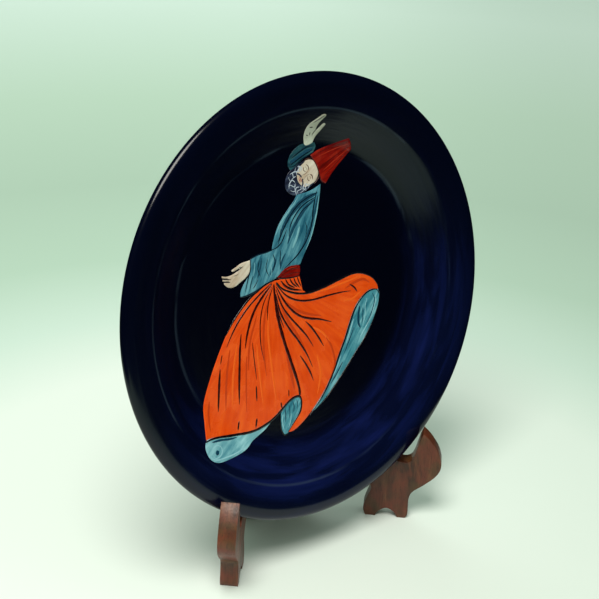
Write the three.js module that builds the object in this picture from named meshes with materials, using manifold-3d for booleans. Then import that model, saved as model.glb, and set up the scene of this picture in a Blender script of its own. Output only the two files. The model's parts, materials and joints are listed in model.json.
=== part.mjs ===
// A glazed display plate standing in a folding stand of two scroll-sawn boards.
// Millimetres, +Z up. The plate faces -Y and leans back; the stand's hinge line is behind it.
// The origin is on the floor, under the centre of the whole object.

import * as THREE from 'three';
import Module from 'manifold-3d';
import { mergeVertices } from 'three/addons/utils/BufferGeometryUtils.js';

const wasm = await Module();
wasm.setup();

// Clearance between pieces that touch on the real object.
const GAP = 0.3;

// Plate.
const PLATE_RADIUS = 150;
const PLATE_LEAN = THREE.MathUtils.degToRad(10);
const PLATE_CENTRE_HEIGHT = 180.2;
const PLATE_SEGMENTS = 96;

// Plate section: radii of its features, and heights over or depths behind the middle of the rim.
const CREST_RADIUS = 144;
const CREST_HEIGHT = 2.4;
const LIP_EDGE_DEPTH = 1.6;
const LIP_DEPTH = 5;
const RIM_BACK_DEPTH = 6.8;
const WALL_TOP_RADIUS = 125;
const WALL_TOP_DEPTH = 2.2;
const WALL_FOOT_RADIUS = 102;
const WELL_DEPTH = 14;
const FLOOR_SAG = 1;
const BASE_DEPTH = 21;
const BASE_RADIUS = 107;
const FOOT_RING_OUTER = 86;
const FOOT_RING_INNER = 78;
const FOOT_RING_DEPTH = 26;

// Stand boards. The hinge line is vertical, and each board runs forward from it at 45 degrees.
const BOARD_THICKNESS = 12;
const BOARD_CURVE_STEPS = 4;
const HINGE_LINE_Y = 47.9;
const REAR_FOOT_LENGTH = 20;
const BOARD_ANGLE = THREE.MathUtils.degToRad(45);
// Lowest height of the groove behind the hook, and how far forward the plate leans on the upright.
const GROOVE_HEIGHT = 45;
const NOSE_REACH = 35.2;

// Butt hinges.
const HINGE_HEIGHTS = { lower: 40, upper: 160 };
const HINGE_LENGTH = 30;
const KNUCKLES = 5;
const KNUCKLE_RADIUS = 2.5;
const LEAF_THICKNESS = 1.2;
const LEAF_WIDTH = 11.3;
const PIN_RADIUS = 1;
const PIN_HEAD_RADIUS = 1.9;
const PIN_HEAD_HEIGHT = 1.2;
const HINGE_SIDES = 24;

// Countersunk wood screws.
const SCREW_SPACING = 18;
const SCREW_HEAD_RADIUS = 2.4;
const SCREW_HEAD_HEIGHT = 1.3;
const SCREW_SHANK_RADIUS = 1.1;
const SCREW_LENGTH = 11;
const SCREW_TIP_LENGTH = 2.5;
const SLOT_WIDTH = 0.6;
const SLOT_DEPTH = 0.5;

const REAR_EDGE = KNUCKLE_RADIUS + GAP;
const LEAF_OUTER_FACE = KNUCKLE_RADIUS - LEAF_THICKNESS;
const BOARD_MIDDLE = GAP + BOARD_THICKNESS / 2;

const glaze = new THREE.MeshStandardMaterial({ color: 0x060c24, roughness: 0.12, metalness: 0 });
const walnut = new THREE.MeshStandardMaterial({ color: 0x5a2a1c, roughness: 0.5, metalness: 0 });
const brass = new THREE.MeshStandardMaterial({ color: 0xb08d4a, roughness: 0.35, metalness: 1 });

// Turns a closed geometry into a solid that can be joined and cut.
function toSolid(geometry) {
  const bare = geometry.clone();
  bare.deleteAttribute('normal');
  bare.deleteAttribute('uv');
  const merged = mergeVertices(bare, 1e-4);
  return new wasm.Manifold(new wasm.Mesh({
    numProp: 3,
    vertProperties: new Float32Array(merged.attributes.position.array),
    triVerts: new Uint32Array(merged.index.array),
  }));
}

function toGeometry(solid) {
  const mesh = solid.getMesh();
  const geometry = new THREE.BufferGeometry();
  geometry.setAttribute('position', new THREE.BufferAttribute(mesh.vertProperties, 3));
  geometry.setIndex(new THREE.BufferAttribute(mesh.triVerts, 1));
  geometry.computeVertexNormals();
  return geometry;
}

// A box given by its lowest and highest corners.
function box(low, high) {
  const size = high.map((value, i) => value - low[i]);
  const geometry = new THREE.BoxGeometry(...size);
  return geometry.translate(...low.map((value, i) => value + size[i] / 2));
}

function named(name, geometry, material) {
  const mesh = new THREE.Mesh(geometry, material);
  mesh.name = name;
  return mesh;
}

// Plate section as radius and height, from the middle of the painted face round to the middle of the base.
// The rim rises outward from the well to a crest, and rolls over into a thick lip.
function plateProfile() {
  return [
    [0, -WELL_DEPTH - FLOOR_SAG],
    [60, -WELL_DEPTH - FLOOR_SAG * 0.6],
    [WALL_FOOT_RADIUS - 5, -WELL_DEPTH],
    [WALL_FOOT_RADIUS + 2, -WELL_DEPTH + 1.8],
    [WALL_TOP_RADIUS, -WALL_TOP_DEPTH],
    [WALL_TOP_RADIUS + 4, -WALL_TOP_DEPTH + 1.5],
    [CREST_RADIUS - 4, CREST_HEIGHT - 0.3],
    [CREST_RADIUS, CREST_HEIGHT],
    [PLATE_RADIUS - 2.6, CREST_HEIGHT - 0.7],
    [PLATE_RADIUS - 0.6, CREST_HEIGHT - 2.2],
    [PLATE_RADIUS, -LIP_EDGE_DEPTH],
    [PLATE_RADIUS - 0.7, -LIP_EDGE_DEPTH - 2],
    [PLATE_RADIUS - 3, -LIP_DEPTH],
    [CREST_RADIUS - 2, -LIP_DEPTH + 0.2],
    [WALL_TOP_RADIUS + 4, -RIM_BACK_DEPTH],
    [BASE_RADIUS + 3, -BASE_DEPTH + 2.5],
    [BASE_RADIUS - 4, -BASE_DEPTH],
    [FOOT_RING_OUTER + 1, -BASE_DEPTH],
    [FOOT_RING_OUTER - 0.8, -FOOT_RING_DEPTH + 0.8],
    [FOOT_RING_OUTER - 2, -FOOT_RING_DEPTH],
    [FOOT_RING_INNER + 2, -FOOT_RING_DEPTH],
    [FOOT_RING_INNER + 0.8, -FOOT_RING_DEPTH + 0.8],
    [FOOT_RING_INNER - 1, -BASE_DEPTH],
    [0, -BASE_DEPTH],
  ];
}

function makePlate() {
  const points = plateProfile().reverse().map(([radius, height]) => new THREE.Vector2(radius, height));
  const plate = named('plate', new THREE.LatheGeometry(points, PLATE_SEGMENTS), glaze);
  plate.position.z = PLATE_CENTRE_HEIGHT;
  plate.rotation.x = Math.PI - PLATE_LEAN;
  return plate;
}

// Board outline: x is the distance forward from the hinge line, y is the height.
function boardOutline() {
  const curve = (shape, points) => shape.splineThru(points.map(([x, y]) => new THREE.Vector2(x, y)));
  const outline = new THREE.Shape();
  outline.moveTo(REAR_EDGE, 0);
  outline.lineTo(REAR_FOOT_LENGTH, 0);
  // Arch between the rear foot and the front foot.
  curve(outline, [[23, 3], [28, 15], [40, 26.5], [60, 32], [75, 29.5], [80.5, 23], [78, 15], [75.8, 6], [77.5, 0]]);
  outline.lineTo(84.5, 0);
  // Small arch between the two toes of the front foot.
  curve(outline, [[87, 4], [92.5, 7], [98, 4], [100.5, 0]]);
  outline.lineTo(106, 0);
  // Front of the foot, then the scrolled lobe up to the hook's tip.
  curve(outline, [[107.7, 4], [107.6, 15], [109.8, 21.8], [118, 28.7], [126, 36.8], [128.7, 45], [126, 54.5],
    [120.2, 63.5], [114.6, 69.2]]);
  // Inside of the hook, and the groove behind it.
  curve(outline, [[113, 65.2], [111, 58], [109.6, 52], [107.4, GROOVE_HEIGHT + 2], [103.5, GROOVE_HEIGHT],
    [98.5, GROOVE_HEIGHT + 0.6]]);
  // Upright, which comes forward again at the nose that the plate leans on.
  curve(outline, [[93.5, 47.6], [85, 50.8], [75, 56.5], [63, 65], [52.5, 80], [46, 100], [41, 125], [35.5, 155],
    [NOSE_REACH - 1, 176], [NOSE_REACH, 186], [NOSE_REACH - 4, 195], [23, 201], [11, 199.5], [5, 195],
    [REAR_EDGE, 188]]);
  outline.lineTo(REAR_EDGE, 0);
  return outline;
}

// Everything on one leg is placed in that leg's own axes: x runs forward along the board from the hinge line, y runs
// up, and z runs across the board. A side's out is +1 or -1: the way along z from the hinge line to the board.
const SIDES = {
  left: { out: 1, angle: -Math.PI / 2 - BOARD_ANGLE },
  right: { out: -1, angle: -Math.PI / 2 + BOARD_ANGLE },
};

function makeLegAxes(side) {
  const leg = new THREE.Group();
  leg.position.y = HINGE_LINE_Y;
  leg.rotation.set(Math.PI / 2, 0, side.angle, 'ZXY');
  return leg;
}

function screwHeights(hingeHeight) {
  return [hingeHeight - SCREW_SPACING / 2, hingeHeight + SCREW_SPACING / 2];
}

// A round hole for a screw, along x from a face.
function screwHole(side, face, height, radius, length) {
  const hole = new THREE.CylinderGeometry(radius, radius, length, HINGE_SIDES);
  hole.rotateZ(Math.PI / 2);
  return toSolid(hole.translate(face + length / 2, height, side.out * BOARD_MIDDLE));
}

function makeBoard(name, side) {
  const board = new THREE.ExtrudeGeometry(boardOutline(), {
    depth: BOARD_THICKNESS, bevelEnabled: false, curveSegments: BOARD_CURVE_STEPS,
  });
  board.translate(0, 0, side.out > 0 ? GAP : -GAP - BOARD_THICKNESS);
  let solid = toSolid(board);
  const start = REAR_EDGE - 1;
  for (const hingeHeight of Object.values(HINGE_HEIGHTS)) {
    for (const height of screwHeights(hingeHeight)) {
      solid = solid.subtract(screwHole(side, start, height, SCREW_SHANK_RADIUS + GAP, SCREW_LENGTH + 1));
    }
  }
  return named(name, toGeometry(solid), walnut);
}

// Knuckles are shared out in turn from the bottom, starting with the left leaf.
function knuckleSpans(hingeHeight) {
  const length = HINGE_LENGTH / KNUCKLES;
  return Array.from({ length: KNUCKLES }, (_, i) => {
    const low = hingeHeight - HINGE_LENGTH / 2 + i * length;
    return { low, high: low + length, side: i % 2 ? 'right' : 'left' };
  });
}

function makeLeaf(name, sideName, hingeHeight) {
  const side = SIDES[sideName];
  const across = (near, far) => (side.out > 0 ? [near, far] : [-far, -near]);
  const slab = (x0, x1, y0, y1, near, far) => {
    const [z0, z1] = across(near, far);
    return toSolid(box([x0, y0, z0], [x1, y1, z1]));
  };
  const half = HINGE_LENGTH / 2;
  let leaf = slab(LEAF_OUTER_FACE, KNUCKLE_RADIUS, hingeHeight - half, hingeHeight + half, 0, LEAF_WIDTH);
  for (const { low, high, side: owner } of knuckleSpans(hingeHeight)) {
    if (owner === sideName) {
      const length = high - low - GAP;
      const knuckle = new THREE.CylinderGeometry(KNUCKLE_RADIUS, KNUCKLE_RADIUS, length, HINGE_SIDES);
      leaf = leaf.add(toSolid(knuckle.translate(0, (low + high) / 2, 0)));
    } else {
      const notchWidth = KNUCKLE_RADIUS + GAP;
      leaf = leaf.subtract(slab(0, KNUCKLE_RADIUS + 1, low - GAP / 2, high + GAP / 2, -1, notchWidth));
    }
  }
  const bore = new THREE.CylinderGeometry(PIN_RADIUS + GAP, PIN_RADIUS + GAP, HINGE_LENGTH + 2, HINGE_SIDES);
  leaf = leaf.subtract(toSolid(bore.translate(0, hingeHeight, 0)));
  for (const height of screwHeights(hingeHeight)) {
    const countersink = new THREE.LatheGeometry(
      [[0, 4], [SCREW_SHANK_RADIUS + GAP, 4], [SCREW_SHANK_RADIUS + GAP, SCREW_HEAD_HEIGHT],
        [SCREW_HEAD_RADIUS + GAP, 0], [SCREW_HEAD_RADIUS + GAP, -1], [0, -1]]
        .map(([radius, depth]) => new THREE.Vector2(radius, -depth)),
      HINGE_SIDES,
    );
    countersink.rotateZ(Math.PI / 2);
    countersink.translate(LEAF_OUTER_FACE, height, side.out * BOARD_MIDDLE);
    leaf = leaf.subtract(toSolid(countersink));
  }
  return named(name, toGeometry(leaf), brass);
}

function makePin(name, hingeHeight) {
  const half = HINGE_LENGTH / 2 + GAP;
  const end = half + PIN_HEAD_HEIGHT;
  const profile = [
    [0, -end], [PIN_HEAD_RADIUS - 0.5, -end], [PIN_HEAD_RADIUS, -half - 0.5], [PIN_HEAD_RADIUS, -half],
    [PIN_RADIUS, -half], [PIN_RADIUS, half],
    [PIN_HEAD_RADIUS, half], [PIN_HEAD_RADIUS, half + 0.5], [PIN_HEAD_RADIUS - 0.5, end], [0, end],
  ].map(([radius, height]) => new THREE.Vector2(radius, height));
  const pin = named(name, new THREE.LatheGeometry(profile, HINGE_SIDES), brass);
  pin.position.y = hingeHeight;
  return pin;
}

// A slotted screw along x. Its head lies in the leaf's countersink and its shank in the board's pilot hole.
function makeScrew(name, side, height) {
  const profile = [
    [0, SCREW_LENGTH], [SCREW_SHANK_RADIUS, SCREW_LENGTH - SCREW_TIP_LENGTH], [SCREW_SHANK_RADIUS, SCREW_HEAD_HEIGHT],
    [SCREW_HEAD_RADIUS, 0], [0, 0],
  ].map(([radius, depth]) => new THREE.Vector2(radius, -depth));
  const blank = new THREE.LatheGeometry(profile, HINGE_SIDES);
  const slot = box(
    [-SCREW_HEAD_RADIUS - 1, -SLOT_DEPTH, -SLOT_WIDTH / 2], [SCREW_HEAD_RADIUS + 1, 1, SLOT_WIDTH / 2],
  );
  const screw = named(name, toGeometry(toSolid(blank).subtract(toSolid(slot))), brass);
  screw.rotation.z = Math.PI / 2;
  screw.position.set(LEAF_OUTER_FACE, height, side.out * BOARD_MIDDLE);
  return screw;
}

const object = new THREE.Group();
object.add(makePlate());

for (const [sideName, side] of Object.entries(SIDES)) {
  const leg = makeLegAxes(side);
  leg.add(makeBoard(`${sideName}_board`, side));
  for (const [hingeName, hingeHeight] of Object.entries(HINGE_HEIGHTS)) {
    leg.add(makeLeaf(`${hingeName}_hinge_${sideName}_leaf`, sideName, hingeHeight));
    screwHeights(hingeHeight).forEach((height, i) => {
      leg.add(makeScrew(`${hingeName}_hinge_${sideName}_screw_${i + 1}`, side, height));
    });
    if (sideName === 'left') leg.add(makePin(`${hingeName}_hinge_pin`, hingeHeight));
  }
  object.add(leg);
}

// The origin is under the middle of the whole object.
const extent = new THREE.Box3().setFromObject(object, true);
object.position.y = -(extent.min.y + extent.max.y) / 2;

export default object;
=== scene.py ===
"""A glazed display plate with a painted dancer, standing in a folding walnut stand.

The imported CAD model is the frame. Sizes, outlines and lines are in millimetres where nothing else is said, and
every mesh is in metres.
"""

import json
import math

import bmesh
import bpy
import numpy as np
from mathutils import Matrix, Quaternion, Vector
from mathutils.geometry import delaunay_2d_cdt

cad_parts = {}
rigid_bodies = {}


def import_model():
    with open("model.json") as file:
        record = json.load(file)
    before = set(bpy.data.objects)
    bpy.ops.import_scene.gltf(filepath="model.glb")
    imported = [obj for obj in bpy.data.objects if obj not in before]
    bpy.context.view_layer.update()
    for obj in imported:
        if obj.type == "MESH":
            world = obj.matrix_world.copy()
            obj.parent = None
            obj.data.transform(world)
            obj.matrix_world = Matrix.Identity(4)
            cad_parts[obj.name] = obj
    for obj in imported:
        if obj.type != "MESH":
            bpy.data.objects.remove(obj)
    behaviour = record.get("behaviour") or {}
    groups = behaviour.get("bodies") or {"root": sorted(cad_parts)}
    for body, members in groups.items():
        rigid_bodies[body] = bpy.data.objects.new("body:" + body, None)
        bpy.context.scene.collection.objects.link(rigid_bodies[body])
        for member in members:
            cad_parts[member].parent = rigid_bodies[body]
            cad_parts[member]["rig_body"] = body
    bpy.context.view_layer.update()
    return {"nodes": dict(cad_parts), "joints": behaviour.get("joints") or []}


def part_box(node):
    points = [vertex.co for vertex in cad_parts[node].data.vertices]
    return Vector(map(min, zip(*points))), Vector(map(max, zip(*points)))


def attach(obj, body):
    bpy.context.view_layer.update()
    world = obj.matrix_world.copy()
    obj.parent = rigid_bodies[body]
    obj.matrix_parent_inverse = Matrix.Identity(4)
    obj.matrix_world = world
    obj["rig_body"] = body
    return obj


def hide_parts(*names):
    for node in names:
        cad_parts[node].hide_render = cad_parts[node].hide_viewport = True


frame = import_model()

MM = 0.001

# -------- sizes, as the CAD model has them

PLATE_LEAN = math.radians(10)
PLATE_RADIUS = 150
LIP_EDGE_DEPTH = 1.6
FOOT_RING_CREST_RADIUS = 84
FOOT_RING_DEPTH = 26

# Plate section as radius and height over the middle of the rim: first the painted side, then the back.
FACE_SECTION = [
    (0, -15), (60, -14.6), (97, -14), (104, -12.2), (125, -2.2), (129, -0.7), (140, 2.1), (144, 2.4),
    (147.4, 1.7), (149.4, 0.2), (PLATE_RADIUS, -LIP_EDGE_DEPTH),
]
BACK_SECTION = [
    (149.3, -3.6), (147, -5), (142, -4.8), (129, -6.8), (110, -18.5), (103, -21), (87, -21), (85.2, -25.2),
    (FOOT_RING_CREST_RADIUS, -FOOT_RING_DEPTH), (80, -FOOT_RING_DEPTH), (78.8, -25.2), (77, -21), (0, -21),
]

# How far each board is turned out from straight ahead.
LEG_ANGLE = math.radians(45)

# -------- camera

# Places in metres, and the lens and the sensor in millimetres.
CAMERA_PLACE = Vector((-0.6650, -0.7688, 0.6363))
CAMERA_TARGET = Vector((-0.0118, -0.0060, 0.1835))
CAMERA_LENS = 101.4
CAMERA_SENSOR = 36
CAMERA_ROLL = math.radians(3.07)


def make_camera():
    data = bpy.data.cameras.new("camera")
    data.lens = CAMERA_LENS
    data.sensor_width = CAMERA_SENSOR
    camera = bpy.data.objects.new("camera", data)
    bpy.context.scene.collection.objects.link(camera)
    camera.location = CAMERA_PLACE
    camera.rotation_mode = "QUATERNION"
    aim = (CAMERA_TARGET - CAMERA_PLACE).to_track_quat("-Z", "Y")
    camera.rotation_quaternion = aim @ Quaternion((0, 0, 1), CAMERA_ROLL)
    bpy.context.scene.camera = camera


# -------- node materials


def linear(red, green, blue):
    """A colour given as 0 to 255 screen values, as Blender's linear RGBA."""
    def one(value):
        v = value / 255
        return v / 12.92 if v <= 0.04045 else ((v + 0.055) / 1.055) ** 2.4
    return (one(red), one(green), one(blue), 1.0)


def grey(value):
    return (value, value, value, 1.0)


class Nodes:
    """Builds one material's node tree. Most methods add a node and return the socket that leaves it."""

    def __init__(self, name, **shader):
        self.material = bpy.data.materials.new(name)
        self.material.use_nodes = True
        self.tree = self.material.node_tree
        self.shader = self.tree.nodes["Principled BSDF"]
        for key, value in shader.items():
            self.shader.inputs[key.replace("_", " ")].default_value = value

    def add(self, kind, inputs=None, out=0, **settings):
        node = self.tree.nodes.new(kind)
        for key, value in settings.items():
            setattr(node, key, value)
        for key, value in (inputs or {}).items():
            self.put(node.inputs[key], value)
        return node.outputs[out]

    def put(self, socket, value):
        if isinstance(value, bpy.types.NodeSocket):
            self.tree.links.new(value, socket)
        else:
            socket.default_value = value

    def place(self):
        """The piece's own coordinates, in metres."""
        return self.add("ShaderNodeTexCoord", out="Object")

    def math(self, operation, a, b=0.0, c=0.0):
        return self.add("ShaderNodeMath", {0: a, 1: b, 2: c}, operation=operation)

    def times(self, product, *factors):
        """All of them multiplied together."""
        for factor in factors:
            product = self.math("MULTIPLY", product, factor)
        return product

    def split(self, vector):
        """The vector's three axes, as a list of sockets."""
        return self.add("ShaderNodeSeparateXYZ", {0: vector}).node.outputs

    def join(self, x, y, z=0.0):
        return self.add("ShaderNodeCombineXYZ", {0: x, 1: y, 2: z})

    def length(self, vector):
        return self.add("ShaderNodeVectorMath", {0: vector}, out="Value", operation="LENGTH")

    def sum(self, vector, other):
        return self.add("ShaderNodeVectorMath", {0: vector, 1: other}, operation="ADD")

    def stretched(self, vector, scale, turn=0.0):
        """Scaled along its axes, after turning the axes about z."""
        if turn:
            turned = {"Vector": vector, "Angle": -turn}
            vector = self.add("ShaderNodeVectorRotate", turned, rotation_type="Z_AXIS")
        return self.add("ShaderNodeMapping", {"Vector": vector, "Scale": scale})

    def noise(self, vector, scale, detail=3.0, rough=0.55, distortion=0.0):
        inputs = {"Vector": vector, "Scale": scale, "Detail": detail, "Roughness": rough}
        return self.add("ShaderNodeTexNoise", inputs | {"Distortion": distortion})

    def step(self, value, low, high, to_low=0.0, to_high=1.0):
        """A smooth step from to_low, where value is low, to to_high."""
        inputs = {"Value": value, "From Min": low, "From Max": high, "To Min": to_low, "To Max": to_high}
        return self.add("ShaderNodeMapRange", inputs, interpolation_type="SMOOTHSTEP")

    def band(self, distance, edges, to_low=0.0, to_high=1.0):
        """A smooth step over a distance, between two edges given in millimetres."""
        return self.step(distance, edges[0] * MM, edges[1] * MM, to_low, to_high)

    def ramp(self, value, *stops):
        """A colour ramp. Each stop is a place from 0 to 1 and a colour."""
        node = self.tree.nodes.new("ShaderNodeValToRGB")
        elements = node.color_ramp.elements
        while len(elements) < len(stops):
            elements.new(0.5)
        for element, (place, colour) in zip(elements, stops):
            element.position = place
            element.color = colour
        self.put(node.inputs[0], value)
        return node.outputs[0]

    def mix(self, factor, a, b):
        """Colour a, or b where factor is 1."""
        node = self.tree.nodes.new("ShaderNodeMix")
        node.data_type = "RGBA"
        for key, value in ((0, factor), (6, a), (7, b)):
            self.put(node.inputs[key], value)
        return node.outputs[2]

    def bump(self, height, depth, strength, under=None):
        """Raises the surface by depth metres where height is 1."""
        inputs = {"Height": height, "Distance": depth, "Strength": strength}
        if under is not None:
            inputs["Normal"] = under
        return self.add("ShaderNodeBump", inputs)

    def finish(self, **sockets):
        """Links the shader's named inputs, and returns the material."""
        for key, value in sockets.items():
            self.put(self.shader.inputs[key.replace("_", " ")], value)
        return self.material


BLACK_BLUE = linear(1, 2, 11)
NAVY = linear(2, 6, 24)
COBALT = linear(11, 20, 66)
# Paler glaze over the wall's edges: painted highlight, with the glaze also breaking at the top edge.
EDGE_BREAK_AND_HIGHLIGHT = linear(54, 66, 80)
BISCUIT = linear(176, 142, 108)
BISCUIT_SHADE = linear(138, 106, 78)

# Where the glaze changes, as distances from the plate's middle in millimetres.
COBALT_BEGINS = (88, 110)
COBALT_FADES = (124, 142)
RIM_TINT_BEGINS = (80, 140)
WALL_FOOT = 101.5
WALL_TOP = 126.2
# Heights over the foot ring's crest: it is bare up to the first, and glazed from the second.
BARE_CREST = (0.4, 0.8)
# The way to the lower right of the plate, where the cobalt gathers.
GATHERED = (0.34, -0.94)
STROKES_ACROSS_RIM = 60.0


def glaze_material():
    """Near-black navy glaze with cobalt brush strokes round the rim, which gather at its lower right."""
    n = Nodes("navy_glaze", IOR=1.36)
    place = n.place()
    axes = n.split(place)
    flat = n.join(axes[0], axes[1])
    radius = n.length(flat)
    around = n.split(n.add("ShaderNodeVectorMath", {0: flat}, operation="NORMALIZE"))
    # Coordinates that follow the rim round: long along the stroke and short across it.
    ringed = n.join(around[0], around[1], n.times(radius, STROKES_ACROSS_RIM))
    wide = n.noise(ringed, 2.0, rough=0.5, distortion=0.6)
    bristles = n.noise(n.stretched(ringed, (2.0, 2.0, 5.0)), 2.2)
    strokes = n.times(n.step(wide, 0.36, 0.68, 0.22, 1.0), n.step(bristles, 0.25, 0.7, 0.75, 1.0))
    # The cobalt shows on the wall and the inner rim, most at the lower right.
    outer = n.times(n.band(radius, COBALT_BEGINS), n.band(radius, COBALT_FADES, 1.0, 0.34))
    toward = n.math("ADD", n.times(around[0], GATHERED[0]), n.times(around[1], GATHERED[1]))
    lower_right = n.step(toward, -0.15, 0.9, 0.06, 1.0)
    shown = n.times(strokes, outer, lower_right)
    rim_tint = n.times(n.band(radius, RIM_TINT_BEGINS, 0.12, 1.0), n.step(toward, -0.6, 0.9, 0.5, 1.0))
    ground = n.mix(rim_tint, BLACK_BLUE, NAVY)
    patchy = n.noise(place, 14.0)
    ground = n.mix(n.step(patchy, 0.35, 0.75, 0.0, 0.45), ground, BLACK_BLUE)
    colour = n.mix(shown, ground, COBALT)
    # Painted highlights over the wall's two edges, the inner one at the upper left only. Over the top edge
    # the glaze also breaks paler.
    highlight_upper_left = n.step(toward, -0.3, 0.5, 1.0, 0.0)
    for edge, width, where in ((WALL_TOP, 1.4, 1.0), (WALL_FOOT, 2.2, highlight_upper_left)):
        off_edge = n.math("ABSOLUTE", n.math("SUBTRACT", radius, edge * MM))
        break_and_highlight = n.times(n.band(off_edge, (0.0, width), 0.3, 0.0), n.step(wide, 0.4, 0.62))
        colour = n.mix(n.times(break_and_highlight, where), colour, EDGE_BREAK_AND_HIGHLIGHT)
    bare = n.band(axes[2], [height - FOOT_RING_DEPTH for height in BARE_CREST], 1.0, 0.0)
    clay = n.mix(n.noise(place, 900.0), BISCUIT, BISCUIT_SHADE)
    # Slow swells in the glaze, and the ridges left by the brush.
    swell = n.bump(n.noise(place, 22.0, detail=1.0), 0.0009, 0.4)
    ridges = n.bump(n.times(strokes, outer), 0.0001, 0.5, under=swell)
    glossy = n.ramp(bristles, (0.3, grey(0.14)), (0.7, grey(0.21)))
    rough = n.mix(bare, glossy, grey(0.9))
    return n.finish(Base_Color=n.mix(bare, colour, clay), Roughness=rough, Normal=ridges)


# Painted shade, darker toward the top of the plate: between these heights over the plate's middle the
# enamel is mixed toward the navy of the glaze, up to this share.
TOP_SHADE_BEGINS = (84, 116)
TOP_SHADE_SHARE = 0.55


def paint_material(name, base, light, dark, turn=0, fan_from=None, bristle=1.0):
    """Brushed enamel under a clear glaze, from three colours given as screen values.

    Its streaks run at a turn in degrees, or fan out from a point on the plate.
    """
    n = Nodes(name, IOR=1.4)
    place = n.place()
    axes = n.split(place)
    if fan_from is None:
        along = n.stretched(place, (60.0, 420.0, 60.0), math.radians(turn))
    else:
        x = n.math("SUBTRACT", axes[0], fan_from[0] * MM)
        y = n.math("SUBTRACT", axes[1], fan_from[1] * MM)
        angle = n.math("ARCTAN2", x, n.times(y, -1.0))
        along = n.join(n.times(angle, 22.0), n.times(n.length(n.join(x, y)), 45.0))
    streaks = n.noise(along, 1.0, distortion=0.3)
    hairs = n.noise(along, 3.7, detail=2.0, rough=0.6)
    pools = n.noise(place, 60.0)
    tone = n.math("ADD", n.times(streaks, 0.55), n.times(pools, 0.45))
    colour = n.ramp(tone, (0.36, linear(*dark)), (0.5, linear(*base)), (0.66, linear(*light)))
    colour = n.mix(n.step(hairs, 0.62, 0.8, 0.0, 0.25 * bristle), colour, linear(*light))
    # Painted shade: the enamel darkens toward the navy glaze near the top of the plate.
    colour = n.mix(n.band(axes[1], TOP_SHADE_BEGINS, 0.0, TOP_SHADE_SHARE), colour, NAVY)
    relief = n.bump(n.math("ADD", streaks, hairs), 0.00012, 0.5)
    return n.finish(Base_Color=colour, Roughness=n.step(pools, 0.3, 0.7, 0.18, 0.32), Normal=relief)


def line_material(name, colour, thin):
    """A painted line, from two colours given as screen values: it turns to thin where the brush ran dry."""
    n = Nodes(name, Roughness=0.22, IOR=1.5)
    place = n.place()
    dry = n.noise(place, 650.0, rough=0.65)
    mixed = n.mix(n.step(dry, 0.56, 0.78), linear(*colour), linear(*thin))
    return n.finish(Base_Color=mixed, Normal=n.bump(dry, 0.0001, 0.5))


WALNUT_RINGS = ((0.32, linear(52, 25, 10)), (0.5, linear(92, 48, 24)), (0.68, linear(118, 68, 38)))
WALNUT_RED = linear(112, 42, 22)
WALNUT_OLIVE = linear(78, 56, 20)
WALNUT_FIBRE = linear(46, 22, 10)
WALNUT_PORE = linear(22, 11, 6)
WALNUT_DARK = linear(38, 20, 6)


def walnut_material(name, shift, darkening):
    """Varnished dark wood, mottled red and olive, with its grain and its fine dark pores up the board."""
    n = Nodes(name, IOR=1.42, Coat_Weight=0.2, Coat_Roughness=0.34)
    place = n.sum(n.place(), shift)
    drift = n.noise(n.stretched(place, (9.0, 3.0, 9.0)), 1.0, detail=2.0)
    figure = n.stretched(place, (1.0, 0.2, 1.0), 0.12)
    wavy = n.sum(figure, n.mix(0.06, grey(0), drift))
    rings = n.noise(wavy, 130.0, distortion=0.8)
    fibres = n.noise(n.stretched(place, (1200.0, 70.0, 1200.0)), 1.0, rough=0.6)
    pores = n.noise(n.stretched(place, (2600.0, 170.0, 2600.0)), 1.0, detail=1.0)
    red = n.noise(n.stretched(place, (70.0, 45.0, 70.0)), 1.0)
    olive = n.noise(n.stretched(place, (46.0, 60.0, 46.0)), 1.3, detail=2.0)
    wood = n.ramp(rings, *WALNUT_RINGS)
    wood = n.mix(n.step(red, 0.4, 0.62, 0.0, 0.75), wood, WALNUT_RED)
    wood = n.mix(n.step(olive, 0.48, 0.7, 0.0, 0.6), wood, WALNUT_OLIVE)
    wood = n.mix(n.step(fibres, 0.4, 0.75, 0.0, 0.35), wood, WALNUT_FIBRE)
    wood = n.mix(n.step(pores, 0.65, 0.74, 0.0, 0.8), wood, WALNUT_PORE)
    wood = n.mix(darkening, wood, WALNUT_DARK)
    grooves = n.bump(n.math("SUBTRACT", fibres, n.step(pores, 0.6, 0.72)), 0.00018, 0.5)
    return n.finish(Base_Color=wood, Roughness=n.step(fibres, 0.3, 0.7, 0.4, 0.58), Normal=grooves)


BRASS_TONES = ((0.35, linear(150, 112, 58)), (0.6, linear(204, 164, 92)), (0.8, linear(222, 186, 118)))


def brass_material(name, roughness):
    """Brass that has dulled unevenly, with fine drawn lines. The roughness is where it is least dull."""
    n = Nodes(name, Metallic=1.0)
    place = n.place()
    dull = n.noise(place, 240.0, detail=4.0, rough=0.65)
    drawn = n.noise(n.stretched(place, (4000.0, 300.0, 4000.0)), 1.0, detail=2.0)
    colour = n.ramp(dull, *BRASS_TONES)
    rough = n.step(dull, 0.3, 0.75, roughness + 0.2, roughness)
    return n.finish(Base_Color=colour, Roughness=rough, Normal=n.bump(drawn, 0.00003, 0.5))


# -------- meshes


def new_piece(name, points, faces, material, body, place):
    """A smooth-shaded mesh object that rides on a CAD body. Points are millimetres in the axes of place."""
    mesh = bpy.data.meshes.new(name)
    mesh.from_pydata([tuple(float(c) * MM for c in p) for p in points], [], faces)
    piece = bpy.data.objects.new(name, mesh)
    bpy.context.scene.collection.objects.link(piece)
    bm = bmesh.new()
    bm.from_mesh(mesh)
    bmesh.ops.recalc_face_normals(bm, faces=bm.faces)
    bm.to_mesh(mesh)
    bm.free()
    mesh.shade_smooth()
    mesh.materials.append(material)
    piece.matrix_world = place
    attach(piece, body)
    return piece


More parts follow.
